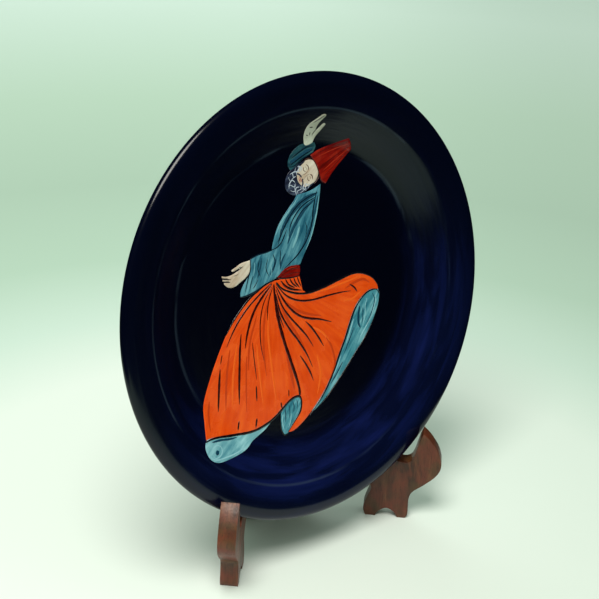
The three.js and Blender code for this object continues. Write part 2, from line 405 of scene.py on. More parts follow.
def corner_cut(points, cuts):
    """Rounds a polyline by cutting off its corners a few times, and keeps its two ends."""
    points = [np.array(p, float) for p in points]
    for _ in range(cuts):
        cut = [points[0]]
        for a, b in zip(points, points[1:]):
            cut += [a * 0.75 + b * 0.25, a * 0.25 + b * 0.75]
        points = cut + [points[-1]]
    return points


# How finely the plate is turned: flats round it, and how often its section's corners are cut.
PLATE_SEGMENTS = 320
SECTION_CUTS = 3


def plate_place():
    """The plate's own axes, from the rim's middle: x to the right, y up the painted face, z out of it."""
    low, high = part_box("plate")
    lean_sin, lean_cos = math.sin(PLATE_LEAN), math.cos(PLATE_LEAN)
    middle = (low.z + high.z) / 2 + LIP_EDGE_DEPTH * MM * lean_sin
    back = (FOOT_RING_CREST_RADIUS * lean_sin + FOOT_RING_DEPTH * lean_cos) * MM
    leaning = Matrix.Rotation(math.pi / 2 - PLATE_LEAN, 4, "X")
    return Matrix.Translation((0, high.y - back, middle)) @ leaning


PLATE_PLACE = plate_place()
FACE_CURVE = np.array(corner_cut(FACE_SECTION, SECTION_CUTS))


def face_height(x, y):
    """Height of the painted face over the middle of the rim."""
    return np.interp(np.hypot(x, y), FACE_CURVE[:, 0], FACE_CURVE[:, 1])


def make_plate():
    """A solid of rings round the section, closed by a point in the middle of the face and one behind it."""
    section = corner_cut(FACE_SECTION + BACK_SECTION, SECTION_CUTS)[1:-1]
    points = [(0, 0, FACE_SECTION[0][1]), (0, 0, BACK_SECTION[-1][1])]
    for radius, height in section:
        for i in range(PLATE_SEGMENTS):
            turn = 2 * math.pi * i / PLATE_SEGMENTS
            points.append((radius * math.cos(turn), radius * math.sin(turn), height))
    faces = []
    last = 2 + (len(section) - 1) * PLATE_SEGMENTS
    for i in range(PLATE_SEGMENTS):
        j = (i + 1) % PLATE_SEGMENTS
        faces += [(0, 2 + i, 2 + j), (1, last + j, last + i)]
        for ring in range(len(section) - 1):
            near, far = 2 + ring * PLATE_SEGMENTS, 2 + (ring + 1) * PLATE_SEGMENTS
            faces.append((near + i, far + i, far + j, near + j))
    piece = new_piece("glazed_plate", points, faces, glaze_material(), "plate", PLATE_PLACE)
    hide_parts("plate")


# -------- painting on the plate

# How far the edge of a film or a line goes into the glaze.
SUNK = 0.05
# A film rises over this width, where rings of points follow its outline. Past the margin there is a grid.
FILM_EDGE_WIDTH = 0.6
FILM_EDGE_RINGS = (0.2, 0.55)
FILM_MARGIN = 0.9
FILM_GRID = 1.5
OUTLINE_SPACING = 0.8


def spline(points, spacing):
    """A smooth curve through points, sampled about every spacing."""
    p = np.array(points, float)
    p = np.vstack([2 * p[0] - p[1], p, 2 * p[-1] - p[-2]])
    samples = []
    for a, b, c, d in zip(p, p[1:], p[2:], p[3:]):
        steps = max(1, round(float(np.linalg.norm(c - b)) / spacing))
        t = (np.arange(steps) / steps)[:, None]
        curve = 2 * b + (c - a) * t + (2 * a - 5 * b + 4 * c - d) * t**2 + (3 * b - a - 3 * c + d) * t**3
        samples.append(curve / 2)
    return np.vstack(samples + [p[-2:-1]])


def outline(*runs):
    """A closed outline of smooth runs that meet at corners. Each run starts where the last one ended."""
    pieces, start = [], runs[-1][-1]
    for run in runs:
        pieces.append(spline([start] + list(run), OUTLINE_SPACING)[:-1])
        start = run[-1]
    return np.vstack(pieces)


def distance_to(edge, points):
    """Distance from each point to a closed outline."""
    a, b = edge, np.roll(edge, -1, axis=0)
    along = b - a
    t = ((points[:, None] - a) * along).sum(2) / np.maximum((along**2).sum(1), 1e-9)
    nearest = a + np.clip(t, 0, 1)[..., None] * along
    return np.linalg.norm(points[:, None] - nearest, axis=2).min(1)


def inside(edge, points):
    """Which points lie inside a closed outline, by how often a line to their right crosses it."""
    a, b = edge, np.roll(edge, -1, axis=0)
    x, y = points[:, 0:1], points[:, 1:2]
    crosses = (a[:, 1] > y) != (b[:, 1] > y)
    rise = np.where(b[:, 1] == a[:, 1], 1e-9, b[:, 1] - a[:, 1])
    return (crosses & (x < (b[:, 0] - a[:, 0]) * (y - a[:, 1]) / rise + a[:, 0])).sum(1) % 2 == 1


def sideways(ahead):
    """Directions of length one, square to the ways ahead."""
    return np.column_stack([-ahead[:, 1], ahead[:, 0]]) / np.linalg.norm(ahead, axis=1)[:, None]


def film_points(edge):
    """The outline itself, the rings that follow it inside, and the grid."""
    low, high = edge.min(0), edge.max(0)
    xs, ys = np.meshgrid(np.arange(low[0], high[0], FILM_GRID), np.arange(low[1], high[1], FILM_GRID))
    grid = np.column_stack([xs.ravel(), ys.ravel()])
    grid = grid[inside(edge, grid)]
    grid = grid[distance_to(edge, grid) > FILM_MARGIN]
    normal = sideways(np.roll(edge, -1, axis=0) - np.roll(edge, 1, axis=0))
    rings = []
    for inset in FILM_EDGE_RINGS:
        for side in (1, -1):
            ring = edge + normal * inset * side
            ring = ring[inside(edge, ring)]
            # Points that come too near another stretch of the outline are left out.
            rings.append(ring[distance_to(edge, ring) > inset * 0.9])
    return np.vstack([edge] + rings + [grid])


def paint(name, edge, lift, material):
    """A film of enamel inside an outline. It stands lift over the glaze and rounds down at its edge."""
    points = [Vector(p) for p in film_points(edge)]
    # The setting 1 keeps only the triangles inside the outline.
    made = delaunay_2d_cdt(points, [], [list(range(len(edge)))], 1, 1e-5)
    flat = np.array([tuple(v) for v in made[0]])
    from_edge = distance_to(edge, flat)
    glaze = face_height(flat[:, 0], flat[:, 1])
    rise = np.sqrt(np.clip(from_edge / FILM_EDGE_WIDTH, 0, 1))
    top = np.column_stack([flat, glaze + rise * (lift + SUNK) - SUNK])
    # The underside shares the film's edge, and lies inside the glaze.
    within = np.flatnonzero(from_edge > 1e-4)
    bottom = np.column_stack([flat, glaze - 2 * SUNK])[within]
    under = np.arange(len(flat))
    under[within] = len(flat) + np.arange(len(within))
    # A corner too sharp to hold an inner point would give two faces back to back, so it is left off.
    film = [face for face in made[2] if np.isin(face, within).any()]
    faces = film + [tuple(int(under[i]) for i in reversed(face)) for face in film]
    new_piece(name, np.vstack([top, bottom]), faces, material, "plate", PLATE_PLACE)


# Section of a brush line: places as shares of half its width, and heights as shares of its lift.
LINE_SECTION = ((-1, 0.0), (-0.9, 0.7), (-0.5, 0.95), (0, 1.0), (0.5, 0.95), (0.9, 0.7), (1, 0.0))
LINE_SPACING = 0.45
# Shares of a line's length over which it widens and narrows, and of its width by which it wavers.
LINE_OPENING = 0.3
LINE_CLOSING = 0.35
LINE_WAVER = 0.1


def line_rings(points, width, lift, start=0.35, end=0.25):
    """Sections all along one brush line. Start and end are its width at its ends, as shares of its width."""
    path = spline(points, LINE_SPACING)
    normal = sideways(np.gradient(path, axis=0))
    steps = np.linalg.norm(np.diff(path, axis=0), axis=1)
    gone = np.concatenate([[0], np.cumsum(steps)])
    share = gone / gone[-1]
    opening = start + (1 - start) * np.sin(np.clip(share / LINE_OPENING, 0, 1) * math.pi / 2)
    closing = end + (1 - end) * np.sin(np.clip((1 - share) / LINE_CLOSING, 0, 1) * math.pi / 2)
    # Two slow waves, begun at a different place in each line.
    waver = 1 + LINE_WAVER * np.sin(gone * 0.7 + path[0, 0]) * np.sin(gone * 0.29 + path[0, 1])
    # The ends are round, but never quite close to a point.
    from_end = np.minimum(gone, gone[-1] - gone) + 0.03
    rounding = np.sqrt(1 - (1 - np.clip(from_end / (width / 2), 0, 1)) ** 2)
    half = width / 2 * np.minimum(opening, closing) * waver * rounding
    rings = []
    for centre, side, reach in zip(path, normal, half):
        for across, up in LINE_SECTION:
            x, y = centre + side * reach * across
            rings.append((x, y, float(face_height(x, y)) - SUNK + (lift + SUNK) * up))
    return rings


def draw_lines(name, material, lift, lines):
    """One piece of raised brush lines. A line is its points, its width and, if unusual, its start and end."""
    points, faces = [], []
    n = len(LINE_SECTION)
    for path, width, *ends in lines:
        first = len(points)
        points += line_rings(path, width, lift, *ends)
        last = len(points) - n
        for row in range(first, last, n):
            for k in range(n):
                after = (k + 1) % n
                faces.append((row + k, row + n + k, row + n + after, row + after))
        faces += [tuple(range(first, first + n)), tuple(range(last + n - 1, last - 1, -1))]
    new_piece(name, points, faces, material, "plate", PLATE_PLACE)


# -------- the painted dancer
# Outlines and lines on the plate: x to the right and y up from the plate's middle.

WAIST = (-20, 15)

SKIRT = outline(
    # Left side, from the waist down to the hem.
    [(-27, 14), (-34, 11), (-41, 7.5), (-48.5, 2), (-56, -5), (-62, -12), (-68, -21), (-74, -31),
     (-79.4, -41), (-83.6, -49.5), (-86, -56), (-87.4, -63), (-88.8, -69), (-90, -74.2)],
    # Hem.
    [(-84, -75), (-76, -76.6), (-68, -78.6), (-60, -80.2), (-52, -81.5), (-44, -81.8), (-37, -80.8),
     (-31, -79), (-25, -76.2), (-20, -73), (-14.5, -70.1), (-9.5, -68.6), (-5.4, -69.5)],
    # Turned-up fold at the bottom.
    [(-4.4, -74), (-5.8, -79.5), (-10, -84), (-14, -87.5), (-17.5, -91.6)],
    # Right side, up to where the skirt flies out.
    [(-13, -91.8), (-7, -89.6), (0, -85.5), (7, -80.2), (14, -74), (20, -67), (26, -58), (31, -49),
     (37, -39), (42, -29), (47, -20.5), (52, -15), (58, -11.3), (63.5, -10), (69.5, -11.5)],
    # Top edge, back to the sash.
    [(69, -8), (65.5, -2.8), (60, 1.3), (53, 4.2), (45, 4.8), (35, 3.4), (25, 1.7), (15, 0.6), (8, 0.6),
     (3.6, 3)],
    [(2.8, 8), (1.6, 13.8)],
    [(-5, 14), (-12, 14.6), WAIST],
)
RIGHT_LINING = outline(
    [(70.3, -14.5), (69, -21), (65.5, -28.5), (60.5, -36), (54, -43.5), (47, -50), (39, -57.5), (31, -65),
     (24, -71), (17, -76.5), (10, -80.8), (3, -84.2)],
    [(12, -74), (24, -59), (35, -40), (45, -21.5), (54, -12.2), (62, -9), (69.4, -10.5)],
)
LEFT_LINING = outline(
    [(-92.6, -79.6), (-91.6, -84), (-88.6, -88), (-83.5, -90.8), (-76.5, -92), (-69, -92.4), (-61, -92.4),
     (-54, -91.4), (-48.6, -88.8), (-43, -86.8), (-37, -84.4), (-31.6, -81)],
    [(-42, -79.5), (-55, -79), (-66, -77), (-77, -74.5), (-84, -73.4), (-89.6, -74.4), (-92, -76.8)],
)
FOLD_LINING = outline(
    [(-17, -71.8), (-12, -68.8), (-8, -67.9), (-5, -69.2)],
    [(-4.2, -74), (-5.5, -79.5), (-9.5, -84), (-13.5, -87.5), (-17.5, -92)],
    [(-20.5, -92.3), (-22.4, -90), (-23, -85), (-22.8, -80), (-22.2, -76.8)],
)
SASH = outline(
    [(-12, 20.6), (-7, 22.2), (-1, 21.8), (2.6, 20.6)],
    [(2.5, 17), (1.6, 13.4)],
    [(-4, 13.6), (-10, 13.8), (-15, 14.8), (-18, 17)],
)
JACKET = outline(
    # Back and shoulder, from the sleeve up to the collar.
    [(-19.4, 39), (-17.6, 43.5), (-15.5, 48), (-12.6, 52.4), (-8, 57.3), (-3, 62), (1.2, 65.8),
     (3.5, 69.5)],
    [(10, 68.6), (17, 69.6), (23.8, 72)],
    # Front edge, down to the sash.
    [(23, 66), (21.6, 60), (19.5, 53.5), (17.2, 46.5), (14, 38.8), (10.2, 32), (6.2, 26.5),
     (2.8, 21)],
    [(-2, 21.4), (-7, 21.6), (-12, 20), (-17, 16.8), (-22, 15.4)],
    # Hanging sleeve.
    [(-28, 14.1), (-34, 12.2), (-40, 10.9), (-44.6, 10.2), (-48.2, 10.4)],
    [(-47.8, 14), (-45.2, 18), (-41.6, 21.8), (-39.4, 26.6), (-38.2, 33.4)],
    [(-31, 35.2), (-25, 35.3), (-20.2, 35.6)],
)
RAISED_SLEEVE = outline(
    [(-2.6, 92.5), (-0.6, 96), (3.4, 99.4), (8, 101.4), (13, 101.2), (19.4, 100.8)],
    [(20.6, 97.4), (18.6, 94.2)],
    [(13, 92.2), (8, 90), (3, 86.8), (-0.5, 85.2), (-3, 88.5)],
)
RAISED_HAND = outline(
    # Back of the hand, from the wrist up to the fingertips.
    [(10.2, 102), (8.9, 106.6), (9, 110.6), (10.2, 113.8), (12.8, 116), (16.4, 117.8), (20.4, 119.8),
     (22.8, 119.8), (24, 118.6)],
    [(21.6, 116.4), (19.4, 114.2), (18.2, 112), (17.9, 109.4)],
    # Thumb.
    [(19.6, 110.6), (21.6, 112.5), (23.6, 113.5), (25.2, 112.4)],
    [(23.4, 110.2), (21.4, 107.8), (19.4, 105.6), (18.1, 103), (17.6, 100.6)],
    [(14, 99.4), (11, 99.6)],
)
LOWERED_HAND = outline(
    # Thumb.
    [(-42.4, 33), (-46.4, 32.6), (-50, 31.2), (-53.8, 29.8)],
    [(-53.4, 28.5), (-50, 29), (-46.8, 30.2)],
    # Fingers, of which two show whole.
    [(-49.2, 28.2), (-51.8, 27.2), (-55, 26.6), (-58.4, 26.6), (-61.9, 27.6)],
    [(-61.6, 26.2), (-57, 24.8)],
    [(-61.3, 25.1), (-61.1, 23.9), (-56.8, 23)],
    [(-60.5, 22.7), (-59.5, 20.6), (-57.4, 19), (-54.6, 18.2), (-51, 18.6), (-47.4, 20.2), (-43.6, 21.8),
     (-40.6, 23.8), (-38.6, 26)],
    [(-38.3, 29.4), (-38.2, 33.2)],
)
HAT = outline(
    [(22, 95), (30, 96.5), (40, 98.2), (46.6, 99.2)],
    [(48.8, 95), (49.9, 90.4)],
    [(46, 86.8), (39, 81.4), (33, 76.4), (28.2, 71.2)],
    [(24.6, 74), (23, 79.5), (20.6, 86), (16, 92.6)],
)
# The head, with its own axes: up runs from the chin to the crown, and across runs over the face.
HEAD_MIDDLE = (12.4, 80.6)
HEAD_TILT = math.radians(24)
HEAD_HALF_LENGTH = 10.4
HEAD_HALF_WIDTH = 9.3
HEAD_SIDES = 48
# Shares of the half width: in the middle, and how much more at the crown and less at the chin.
HEAD_FULLNESS = 0.94
HEAD_TAPER = 0.1


def on_head(up, across):
    """The point on the plate for a point given in the head's own axes."""
    tilt_cos, tilt_sin = math.cos(HEAD_TILT), math.sin(HEAD_TILT)
    x = HEAD_MIDDLE[0] + up * tilt_cos - across * tilt_sin
    y = HEAD_MIDDLE[1] + up * tilt_sin + across * tilt_cos
    return (x, y)


def head_outline():
    """An egg, narrower at the chin."""
    points = []
    for i in range(HEAD_SIDES):
        turn = 2 * math.pi * i / HEAD_SIDES
        up = math.cos(turn)
        across = HEAD_HALF_WIDTH * math.sin(turn) * (HEAD_FULLNESS + HEAD_TAPER * up)
        points.append(on_head(HEAD_HALF_LENGTH * up, across))
    return np.array(points)


def beard_outline():
    """Round the jaw from ear to ear, and on below the chin."""
    runs = [
        # Outer edge, ending at one ear.
        [(-5, 10), (-10, 10), (-14.5, 8.4), (-18, 5), (-19.2, 1), (-18, -3.5), (-14.6, -7), (-10.5, -9),
         (-5.5, -9.6), (2.6, -9.0)],
        [(2.8, -7.9)],
        # Inner edge, round the mouth and up to the other ear.
        [(-4.2, -6.8), (-6.8, -4), (-7.9, 0), (-6.8, 4), (-4.2, 6.8), (2.8, 7.9)],
        [(2.6, 9.2)],
    ]
    return outline(*[[on_head(*p) for p in run] for run in runs])


def paint_dancer():
    """The films of enamel, where one over another is lifted more, and then the lines over them."""
    sky = paint_material("pale_blue_enamel", (68, 132, 148), (124, 176, 188), (34, 98, 118), turn=52)
    pale_sky = paint_material("hem_enamel", (110, 162, 174), (146, 192, 202), (76, 132, 148), turn=20)
    blue = paint_material("jacket_enamel", (58, 114, 134), (100, 154, 168), (24, 76, 98), turn=60)
    # The raised sleeve is the jacket's blue painted darker, as painted shade at the top of the figure.
    shaded_sleeve_blue = paint_material("shaded_sleeve_enamel", (40, 84, 94), (76, 122, 132), (16, 52, 64), turn=20)
    orange = paint_material("orange_enamel", (216, 70, 7), (226, 84, 14), (206, 61, 5), fan_from=WAIST)
    red = paint_material("red_enamel", (120, 8, 2), (146, 28, 8), (82, 4, 2), turn=22)
    slate = paint_material("beard_enamel", (34, 40, 60), (74, 84, 108), (18, 20, 34), turn=20)
    skin = paint_material(
        "skin_enamel", (194, 178, 164), (214, 204, 190), (176, 152, 132), turn=40, bristle=0.5,
    )
    pale_skin = paint_material(
        "raised_hand_enamel", (230, 228, 210), (244, 244, 230), (206, 198, 176), turn=40, bristle=0.5,
    )
    for name, edge, lift, material in (
        ("painted_right_lining", RIGHT_LINING, 0.16, sky),
        ("painted_left_lining", LEFT_LINING, 0.16, pale_sky),
        ("painted_fold_lining", FOLD_LINING, 0.2, sky),
        ("painted_skirt", SKIRT, 0.24, orange),
        ("painted_sash", SASH, 0.28, red),
        ("painted_raised_sleeve", RAISED_SLEEVE, 0.2, shaded_sleeve_blue),
        ("painted_jacket", JACKET, 0.26, blue),
        ("painted_raised_hand", RAISED_HAND, 0.24, pale_skin),
        ("painted_lowered_hand", LOWERED_HAND, 0.3, skin),
        ("painted_head", head_outline(), 0.22, skin),
        ("painted_beard", beard_outline(), 0.28, slate),
        ("painted_hat", HAT, 0.32, red),
    ):
        paint(name, edge, lift, material)
    draw_skirt_edges()
    draw_skirt_shades()
    draw_folds()
    draw_lining_lines()
    draw_jacket_lines()
    draw_head_lines()
    draw_hat_sash_and_hand_lines()


def draw_skirt_edges():
    draw_lines("painted_ink_lines", line_material("ink", (10, 8, 14), (30, 16, 20)), 0.42, [
        # Hem, from the left corner to the fold, then down the fold.
        ([(-91, -75), (-84, -75.4), (-76, -76.9), (-68, -78.9), (-60, -80.5), (-52, -81.9), (-44, -82.2),
          (-37, -81.1), (-31, -79.5), (-25, -76.7), (-20, -73.4), (-14.5, -70.2), (-9.5, -68.7),
          (-5.2, -69.6), (-4.2, -74), (-5.6, -79.7), (-9.8, -84.2), (-13.8, -87.8),
          (-17.4, -91)], 1.9, 0.5, 0.3),
        # Right side, from the hem up.
        ([(2, -85), (8, -80.3), (14.6, -74.2), (20.6, -67), (26.6, -58), (31.6, -49), (37.6, -39),
          (42.6, -29.2), (47.4, -20.8), (52.4, -15.3), (58, -11.6), (63.5, -10.3), (68, -11),
          (69.6, -14)], 1.5, 0.3, 0.4),
        # Top edge of the flying part, which starts thick under the pleats.
        ([(-18.5, 13.5), (-14, 8.4), (-8, 4.8), (-1, 2), (7, 0.4), (15, 0.4), (25, 1.6), (35, 3.3),
          (45, 4.8), (53, 4.3), (60, 1.4), (65.6, -2.7), (69.3, -8.4)], 1.7, 0.8, 0.25),
        # Left hip, and under the sash.
        ([(-20, 15.4), (-27, 14.3), (-34, 11.2), (-41, 7.7), (-48.5, 2.2), (-56, -4.8),
          (-62, -11.8)], 1.3, 0.8, 0.2),
        ([(-18.2, 17), (-13, 15.2), (-6, 14), (1.8, 13.6)], 1.1),
        # Outer edges of the linings.
        ([(69.6, -11.5), (70.6, -15), (69.2, -21.2), (65.6, -28.7), (60.6, -36.2), (54.2, -43.8),
          (47, -50.4), (39, -58), (31, -65.4), (24, -71.5), (17, -76.9), (10, -81)], 1.1, 0.5, 0.2),
        ([(-22.6, -77), (-23.3, -82), (-23, -88), (-21, -92.4), (-17.6, -92.6)], 1.1),
    ])


def draw_skirt_shades():
    draw_lines("painted_skirt_shades", line_material("burnt_orange", (184, 54, 5), (206, 62, 6)), 0.29, [
        ([(-24, 8), (-30, -8), (-32.6, -28), (-32, -48)], 2.6),
        ([(-36, -4), (-43.6, -22), (-46.6, -40)], 2.4),
        ([(-47, -30), (-49, -48), (-50.6, -68)], 2.0),
        ([(-60, -22), (-64.4, -40), (-67.4, -62)], 2.6),
        ([(-17, 4), (-12, -12), (-4, -26), (4, -42)], 3.4),
        ([(-13, 0), (-3, -9), (8, -14.6), (18, -18)], 3.0),
        ([(-14, -34), (-11.4, -50), (-9.4, -64)], 3.6),
        ([(20, -32), (25, -42), (27, -54), (22, -64)], 2.4),
        ([(40, -4), (48, -1.6), (56, -1), (62, -4.6)], 3.0),
        ([(-80, -52), (-82.6, -62), (-84, -71)], 2.6),
    ])
    draw_lines("painted_skirt_lights", line_material("light_orange", (227, 89, 17), (220, 78, 12)), 0.29, [
        ([(-26.6, -6), (-28, -22), (-27, -44), (-25.6, -66)], 2.4),
        ([(-54, -20), (-59, -40), (-62, -62)], 2.6),
        ([(-38, -24), (-37.6, -44), (-36.6, -66)], 2.2),
        ([(10, -24), (18, -30), (24, -38)], 2.4),
        ([(12, -44), (14, -58), (10, -72)], 2.8),
        ([(14, -1), (28, -0.6), (42, 0.6), (54, 1.6)], 2.0),
        ([(38, -12), (46, -12.6), (54, -9)], 2.2),
    ])


# How much wider the folds are drawn than listed, but for the middle one.
FOLD_BOLDNESS = 1.25


def draw_folds():
    """Folds that spread over the skirt from the waist, and pleats under the sash."""
    middle = (
        [(-20.5, 13), (-20.2, 3), (-18.6, -12), (-15, -28), (-11, -42), (-7.2, -55), (-5.2, -64),
         (-5.2, -69)], 2.8, 0.5, 0.7,
    )
    left = [
        ([(-22, 14.2), (-33, 8.4), (-43, 2), (-52, -6), (-58, -13.4), (-62.5, -20)], 1.2),
        ([(-22, 13.4), (-30, 7), (-37, 0), (-42, -8), (-45.6, -17), (-47.6, -24.6)], 1.7),
        ([(-22, 12), (-28, 5), (-31.6, -2), (-34, -12), (-34.6, -25), (-33, -37)], 0.8),
        ([(-21.6, 11), (-25, 4), (-27, -3), (-27.6, -10)], 0.8),
        ([(-50, -14), (-52, -25), (-53.6, -38), (-55, -50), (-56, -61)], 1.6),
        ([(-69, -33), (-70.6, -42), (-72, -51), (-73.6, -61)], 1.6),
        ([(-41.4, -22), (-41, -34), (-40.2, -48)], 0.7),
        ([(-41, -52), (-41.5, -63)], 1.0),
        ([(-57.4, -72), (-59.2, -78)], 1.3),
        ([(-42.6, -74.4), (-44.2, -80.6)], 1.3),
        ([(-21.6, -69), (-21.2, -73.4)], 1.1),
        ([(-66.5, -24), (-68.4, -30)], 0.8),
        ([(-14.2, -62), (-14.6, -67)], 0.8),
    ]
    right = [
        ([(-18.6, 12.4), (-12, 4), (-5, -1), (3, -4), (13, -5.4), (25, -5.4), (36, -5.8), (45, -6.8)], 1.3),
        ([(-18.8, 11), (-13, 0), (-7, -8), (0, -14), (8, -17.6), (16, -20), (26.4, -24.4)], 1.5),
        ([(-19, 9), (-15, -3), (-9, -12.4), (-2, -21), (4, -28.6), (9.4, -37.8)], 1.3),
        ([(-19.4, 6), (-16.4, -8), (-10, -20.4), (-3.4, -30), (3, -41), (7.6, -52)], 1.4),
        ([(4, -18.6), (9, -24.4), (14, -32), (18.2, -39.6)], 1.3),
        ([(-2.6, -41), (1.4, -47.6), (5, -54.6), (7.4, -61.4)], 1.2),
        ([(-19.6, 2), (-18, -8), (-14.4, -19)], 0.9),
        ([(44, -1.8), (48, -5), (50.4, -8.6)], 1.2),
    ]
    pleats = [
        ([(-14.6, 14), (-11, 9.4), (-5.6, 6), (2.6, 3.4)], 1.5),
        ([(-10.6, 14), (-8, 9.6), (-3, 6.4)], 1.2),
        ([(-7, 13.8), (-5, 10), (-1, 6.4)], 1.1),
        ([(-3.6, 13.6), (-2.2, 9.8), (1, 5.6)], 1.1),
        ([(-0.6, 13.6), (0.6, 9.6), (2.4, 6)], 0.9),
    ]
    folds = [middle] + [(points, width * FOLD_BOLDNESS) for points, width in left + right + pleats]
    draw_lines("painted_fold_lines", line_material("fold_maroon", (44, 4, 3), (104, 20, 6)), 0.38, folds)


def draw_lining_lines():
    draw_lines("painted_lining_shades", line_material("deep_teal", (10, 54, 76), (34, 92, 112)), 0.26, [
        ([(52, -19), (50.6, -25), (50.2, -31), (51.6, -35)], 2.2),
        ([(54.6, -21), (54.4, -27), (53, -32)], 0.9),
        ([(64, -12.6), (65.6, -18), (62, -27), (57, -34)], 0.9),
        ([(46, -33), (41, -41), (36, -49)], 1.0),
        ([(34, -55), (28, -62), (22, -68)], 1.3),
        ([(-18.6, -74), (-18.4, -79), (-19, -84)], 1.1),
        ([(-15.2, -72.4), (-14.6, -77), (-15.4, -82)], 1.0),
        ([(-11.6, -71), (-10.8, -75), (-11.6, -79)], 1.0),
        ([(-8.2, -70.6), (-7.6, -74), (-8.6, -77.4)], 0.8),
        ([(-84.4, -84.2), (-82.6, -84.6), (-80.6, -84.4)], 3.0),
        ([(-85, -77.2), (-76, -78.8), (-68, -80.9), (-61, -82)], 1.6),
    ])
    draw_lines("painted_lining_lights", line_material("white_blue", (130, 178, 190), (98, 152, 166)), 0.26, [
        ([(67.4, -14), (65.8, -21), (61.4, -29), (56, -36), (51, -41)], 1.0),
        ([(59, -15.4), (57, -20), (56.4, -27), (53.6, -34)], 0.7),
        ([(46, -27), (41.6, -36), (38, -43)], 1.2),
        ([(33, -50), (29, -57), (24, -64)], 0.9),
        ([(-91, -80), (-89.6, -85), (-84.6, -88.6), (-76, -90), (-66, -90.8), (-56, -90.2)], 1.1),
        ([(-87.6, -84), (-85.6, -87), (-81.6, -87.6), (-78, -86), (-77.6, -83), (-80, -81),
          (-84, -81)], 0.8),
        ([(-21, -78), (-21.6, -84), (-20.6, -90)], 1.1),
        ([(-13.6, -79), (-14.6, -84), (-17, -88.6)], 0.9),
    ])


def draw_jacket_lines():
    draw_lines("painted_jacket_shades", line_material("slate_blue", (22, 62, 84), (44, 94, 114)), 0.3, [
        ([(20.5, 66.5), (8.5, 63.8), (-1.6, 57.6), (-8.4, 50.6), (-12.6, 43.6)], 6.0),
        ([(18.6, 63), (10.4, 58.6), (3, 52), (-2.6, 45), (-7, 37)], 4.4),
        ([(21, 65), (17.4, 54), (13.2, 45), (9, 37.4), (3.4, 30.4)], 3.2),
        ([(-17, 30), (-19, 25), (-23, 19.4)], 2.8),
        ([(-29, 32.6), (-30.4, 27), (-33.4, 20)], 2.4),
        ([(-9, 31.6), (-12.4, 27), (-14.4, 21.4)], 2.4),
        ([(-2, 90.6), (5, 92.6), (12, 95.4), (18.6, 97)], 3.4),
    ])
    draw_lines("painted_jacket_lines", line_material("deep_blue", (5, 26, 42), (16, 58, 78)), 0.36, [
        ([(20, 68), (18, 62), (16, 55), (14.8, 48), (11.6, 40), (6.6, 33.4), (0.6, 28), (-5, 24.6),
          (-11.4, 21)], 1.6),
        ([(20.6, 66.8), (11, 64.6), (3.6, 61.4), (-3, 56), (-8.8, 49), (-13, 42), (-15, 38)], 1.5),
        ([(19, 64), (10.4, 61.6), (4, 58), (-1, 53), (-4, 48), (-5.6, 42)], 1.3),
        ([(15, 60.6), (8, 57.6), (3.4, 54), (0.6, 49.6)], 1.1),
        ([(-20.4, 36), (-16, 36.8), (-12, 39.4), (-9, 43.6), (-6.6, 47.6)], 1.2),
        ([(-11.6, 49), (-12.6, 44), (-15, 40)], 1.0),
        ([(-13, 34.4), (-13.8, 29), (-14.4, 23.6)], 1.0),
        ([(-19.6, 33.6), (-18.4, 28), (-20, 22)], 0.9),
        ([(-24, 31), (-26, 25), (-24, 19)], 0.8),
        ([(-31, 32), (-32.6, 26), (-31, 20)], 0.8),
        ([(-38.2, 33.6), (-38.8, 27), (-41.2, 21), (-44.2, 13)], 1.1),
        ([(-37, 22), (-39.2, 17), (-40.6, 12.4)], 0.8),
        ([(-33, 19), (-35.4, 16), (-38, 13.6)], 0.8),
        ([(-48.4, 10.4), (-42, 10.3), (-36, 11.4), (-28, 13.8), (-21, 15.3)], 1.3),
        ([(-38.4, 34), (-31, 35.2), (-25, 35.3), (-20, 36)], 0.8),
        ([(9, 49), (10, 43), (7, 37)], 0.7),
        ([(-1, 89), (5, 91.6), (11, 94), (18, 96)], 1.1),
        ([(0.4, 93.4), (6, 96), (13, 98.6), (19, 98.4)], 1.1),
        ([(-2.6, 88), (2, 87.8), (8, 91), (14, 92.8), (19, 94.4)], 0.9),
    ])
    draw_lines("painted_jacket_lights", line_material("pale_blue", (112, 162, 174), (78, 132, 148)), 0.34, [
        ([(21.8, 64), (19.4, 54.4), (16.6, 46), (12.8, 37.4), (8, 30)], 1.1),
        ([(-16.4, 45), (-12.4, 51), (-6, 57.4), (0.4, 63), (4, 66.6)], 1.1),
        ([(-22, 27), (-21.4, 22), (-22.6, 18)], 0.8),
        ([(-35, 31), (-35.6, 26), (-36.6, 22)], 0.8),
        ([(4, 47), (1, 40), (-3, 33.4)], 2.4),
    ])


# Lines of one half of the face, in the head's axes, with their widths. The other half mirrors them.
HALF_FACE_LINES = (
    ([(2.2, 1.5), (3.3, 3.6), (2.5, 6.2)], 0.8),
    ([(0.0, 1.9), (-1.0, 3.7), (0.1, 5.7)], 0.65),
    ([(1.2, 2.3), (1.6, 3.8), (1.2, 5.3)], 0.35),
    ([(1.8, 1.1), (-0.6, 0.9), (-2.8, 1.3), (-3.9, 1.7)], 0.35),
    ([(-3.7, 1.8), (-4.4, 1.2), (-4.3, 0.4)], 0.5),
    ([(8, 7.2), (5, 8.9), (2.6, 9.4)], 0.7),
)
HALF_MOUSTACHE = (([(-4.9, 0.4), (-5.0, 2.2), (-6.0, 4.2), (-8.0, 5.6)], 1.2),)
LIPS = (
    ([(-6.1, -2.5), (-5.8, -1), (-6.1, 0), (-5.8, 1), (-6.1, 2.5)], 0.7),
    ([(-6.7, -1.5), (-7.1, 0), (-6.7, 1.5)], 0.6),
)

